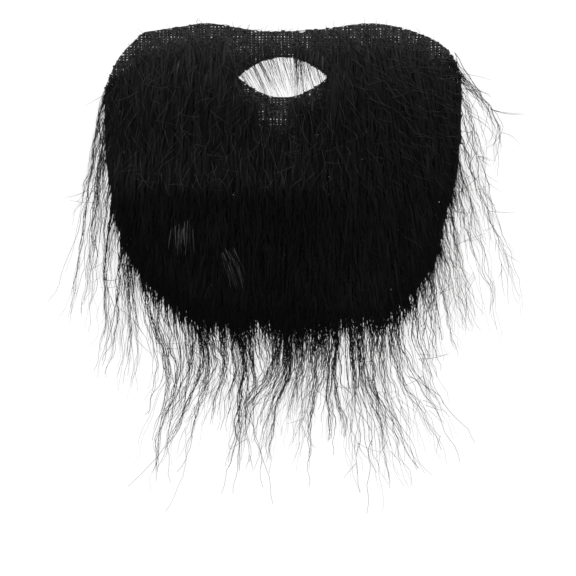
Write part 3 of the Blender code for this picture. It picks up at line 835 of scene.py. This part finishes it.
def make_mouth_hair(fibre):
    """The thin hairs that cross the mouth from the upper lip, slanting more at the left.

    Their roots lie up to 7 mm above the lip, which is taken as a parabola, and they arch over the gap.
    """
    rng = np.random.default_rng(7)
    count, stations = MOUTH_HAIRS, 10
    across = rng.permutation(np.linspace(0, 1, count)) ** 1.4
    x = MOUTH_LOW[0] + (MOUTH_HIGH[0] - MOUTH_LOW[0]) * across + rng.normal(0, 0.5 * MM, count)
    slant = np.interp(x, [MOUTH_LOW[0], MOUTH_X, MOUTH_HIGH[0]], [0.55, 0.30, 0.28])
    slant = slant + rng.normal(0, 0.09, count)
    first = 0
    for share, middle, spread, lean, lean_spread in LIP_CLUMPS:
        part = slice(first, first + int(share * count))
        x[part] = MOUTH_X + middle + rng.normal(0, spread, part.stop - part.start)
        slant[part] = lean + rng.normal(0, lean_spread, part.stop - part.start)
        first = part.stop
    lip = MOUTH_Y + (MOUTH_HIGH[1] - MOUTH_Y) * (1 - ((x - MOUTH_X) / (MOUTH_HIGH[0] - MOUTH_X)) ** 2)
    y = lip + rng.uniform(0.5 * MM, 7 * MM, count)
    x = x - (y - lip) * np.tan(slant)
    length = rng.uniform(10 * MM, 36 * MM, count)
    s = np.arange(stations) / (stations - 1) * length[:, None]
    wave = rng.uniform(0.1 * MM, 0.5 * MM, (count, 1))
    wave = wave * np.sin(s / (4 * MM) + rng.uniform(0, math.tau, (count, 1)))
    arch = rng.uniform(0.1 * MM, 1.2 * MM, (count, 1)) * np.sin(np.linspace(0.3, 2.9, stations))
    path_x = x[:, None] + s * np.sin(slant)[:, None] + wave
    path_y = y[:, None] - s * np.cos(slant)[:, None]
    paths = np.dstack([path_x, path_y, FLAT_TOP + ROOT_LIFT + arch])
    strands("mouth_hair", paths, tones_and_painted_light(paths, rng), rng, fibre, ["moustache_hair"], FINE_WIDTH)


def linear(code):
    """Turns an sRGB hex colour into linear values with an alpha."""
    parts = [int(code[i : i + 2], 16) / 255 for i in (1, 3, 5)]
    return [c / 12.92 if c <= 0.04045 else ((c + 0.055) / 1.055) ** 2.4 for c in parts] + [1]


def add(tree, kind, settings=None, links=None):
    """Adds a node with its settings, its sockets' values and the sockets that feed it."""
    node = tree.nodes.new(kind)
    for key, value in (settings or {}).items():
        if isinstance(key, str) and hasattr(node, key):
            setattr(node, key, value)
        else:
            node.inputs[key].default_value = value
    for key, source in (links or {}).items():
        tree.links.new(source, node.inputs[key])
    return node


def new_material(name):
    material = bpy.data.materials.new(name)
    material.use_nodes = True
    tree = material.node_tree
    tree.nodes.clear()
    return material, tree, tree.nodes.new("ShaderNodeOutputMaterial")


def ramp(tree, factor, stops):
    """A colour ramp with the given places and hex colours."""
    node = add(tree, "ShaderNodeValToRGB", links={"Fac": factor})
    while len(node.color_ramp.elements) < len(stops):
        node.color_ramp.elements.new(1)
    for element, (place, code) in zip(node.color_ramp.elements, stops):
        element.position = place
        element.color = linear(code)
    return node


def black_spun_yarn():
    """Spun polyester yarn, dyed black and loosely woven: matt, with a fine twist across it."""
    material, tree, output = new_material("black_spun_yarn")
    place = add(tree, "ShaderNodeTexCoord")
    fluff = {"Scale": 900, "Detail": 3}
    speckle = add(tree, "ShaderNodeTexNoise", fluff, {"Vector": place.outputs["Object"]})
    colour = ramp(tree, speckle.outputs["Fac"], [(0.33, "#1b1b1c"), (0.68, "#565657")])
    twist = add(
        tree,
        "ShaderNodeTexWave",
        {"wave_type": "BANDS", "bands_direction": "DIAGONAL", "Scale": 1.1, "Distortion": 1.5},
        {"Vector": place.outputs["UV"]},
    )
    relief = {"Strength": 0.5, "Distance": 0.1 * MM}
    bump = add(tree, "ShaderNodeBump", relief, {"Height": twist.outputs["Fac"]})
    shader = add(
        tree,
        "ShaderNodeBsdfPrincipled",
        {"Roughness": 0.9, "IOR": 1.45, "Specular IOR Level": 0.2},
        {"Base Color": colour.outputs["Color"], "Normal": bump.outputs["Normal"]},
    )
    tree.links.new(shader.outputs["BSDF"], output.inputs["Surface"])
    return material


# The colours along the tone. The low stops are the dyed black; the lighter ones carry the painted light
# and shade, painted glints and painted sheen, and the lightest ones the painted highlights of the
# partings.
FIBRE_COLOURS = [
    (0.0, "#040404"),
    (0.12, "#070707"),
    (0.4, "#151516"),
    (0.64, "#262627"),
    (0.8, "#565658"),
    (1.0, "#a8a8aa"),
]


def black_fibre():
    """Extruded modacrylic fibre: near black with a satin gloss; its colour follows the tone, which
    carries painted light and shade and painted glints.
    """
    material, tree, output = new_material("black_fibre")
    tone = add(tree, "ShaderNodeAttribute", {"attribute_name": "tone"})
    colour = ramp(tree, tone.outputs["Fac"], FIBRE_COLOURS)
    shader = add(
        tree,
        "ShaderNodeBsdfPrincipled",
        {"Roughness": 0.5, "IOR": 1.5, "Specular IOR Level": 0.14},
        {"Base Color": colour.outputs["Color"]},
    )
    tree.links.new(shader.outputs["BSDF"], output.inputs["Surface"])
    return material


def black_under_hair():
    """The mass of fibres under the top ones, seen as bands of fine parallel streaks."""
    material, tree, output = new_material("black_under_hair")
    place = add(tree, "ShaderNodeTexCoord")
    stretch = add(tree, "ShaderNodeMapping", {"Scale": (40, 0.12, 1)}, {"Vector": place.outputs["UV"]})
    noise = {"Scale": 1, "Detail": 3}
    streak = add(tree, "ShaderNodeTexNoise", noise, {"Vector": stretch.outputs["Vector"]})
    # the tone carries the painted light and shade of the hair; the streaks vary it at random
    tone = add(tree, "ShaderNodeAttribute", {"attribute_name": "tone"})
    centred = {"operation": "MULTIPLY_ADD", 1: 0.14, 2: -0.07}
    shift = add(tree, "ShaderNodeMath", centred, {0: streak.outputs["Fac"]})
    terms = {0: tone.outputs["Fac"], 1: shift.outputs["Value"]}
    shade = add(tree, "ShaderNodeMath", {"operation": "ADD"}, terms)
    colour = ramp(tree, shade.outputs["Value"], FIBRE_COLOURS)
    relief = {"Strength": 0.6, "Distance": 0.2 * MM}
    bump = add(tree, "ShaderNodeBump", relief, {"Height": streak.outputs["Fac"]})
    shader = add(
        tree,
        "ShaderNodeBsdfPrincipled",
        {"Roughness": 0.6, "IOR": 1.5, "Specular IOR Level": 0.12},
        {"Base Color": colour.outputs["Color"], "Normal": bump.outputs["Normal"]},
    )
    tree.links.new(shader.outputs["BSDF"], output.inputs["Surface"])
    return material


def white_board():
    """Matt white board, lit so evenly that no shadow shows on it."""
    material, tree, output = new_material("white_board")
    shader = add(
        tree,
        "ShaderNodeBsdfPrincipled",
        {
            "Base Color": linear("#a8a8a8"),
            "Roughness": 0.9,
            "Emission Color": linear("#ffffff"),
            "Emission Strength": FLOOR_GLOW,
        },
    )
    tree.links.new(shader.outputs["BSDF"], output.inputs["Surface"])
    return material


def make_ground(yarn):
    """The woven ground: warp and weft, which lie on the floor."""
    rng = np.random.default_rng(1)
    warp_first, *warp_runs = yarn_runs(WARP_PITCH, 0)
    weft_first, *weft_runs = yarn_runs(WEFT_PITCH, 1)
    warp = weave(
        "ground_warp",
        WARP_PITCH,
        WEFT_PITCH,
        WEFT_PITCH,
        WARP_WIDTH,
        0,
        warp_first,
        weft_first,
        warp_runs,
        rng,
        yarn,
        ["backing_cloth"],
    )
    weft = weave(
        "ground_weft",
        WEFT_PITCH,
        WARP_PITCH,
        WARP_PITCH / 2,
        WEFT_WIDTH,
        1,
        weft_first,
        warp_first,
        weft_runs,
        rng,
        yarn,
    )
    return warp, weft


def make_stage():
    """A pale floor, soft lights from both sides and above, and the camera straight overhead."""
    bpy.ops.mesh.primitive_plane_add(size=FLOOR_SIZE, location=(0, 0, -FLOOR_DROP))
    floor = bpy.context.object
    floor.name = "floor"
    floor.data.materials.append(white_board())
    world = bpy.data.worlds.new("studio")
    world.use_nodes = True
    world.node_tree.nodes["Background"].inputs["Color"].default_value = linear("#ffffff")
    world.node_tree.nodes["Background"].inputs["Strength"].default_value = SKY_STRENGTH
    bpy.context.scene.world = world
    for name, place, size, power in LIGHTS:
        light = bpy.data.lights.new(name, "AREA")
        light.shape = "SQUARE"
        light.size = size
        light.energy = power
        lamp = bpy.data.objects.new(name, light)
        bpy.context.scene.collection.objects.link(lamp)
        lamp.location = place
        aim = -lamp.location.normalized()
        lamp.rotation_euler = aim.to_track_quat("-Z", "Y").to_euler()
    camera = bpy.data.cameras.new("camera")
    camera.sensor_width = SENSOR
    camera.lens = SENSOR * EYE_HEIGHT / (PICTURE * PIXEL)
    camera.clip_end = 100
    eye = bpy.data.objects.new("camera", camera)
    bpy.context.scene.collection.objects.link(eye)
    middle = PICTURE / 2
    eye.location = ((middle - ORIGIN_PIXEL[0]) * PIXEL, (ORIGIN_PIXEL[1] - middle) * PIXEL, EYE_HEIGHT)
    bpy.context.scene.camera = eye
    bpy.context.scene.view_settings.view_transform = "Standard"


make_stage()
yarn = black_spun_yarn()
fibre = black_fibre()
warp, weft = make_ground(yarn)
edge = make_edge(yarn)
make_under_hair(black_under_hair())
make_top_hair(fibre)
make_partings(fibre)
make_fringe(fibre)
make_flyaways(fibre)
make_mouth_hair(fibre)
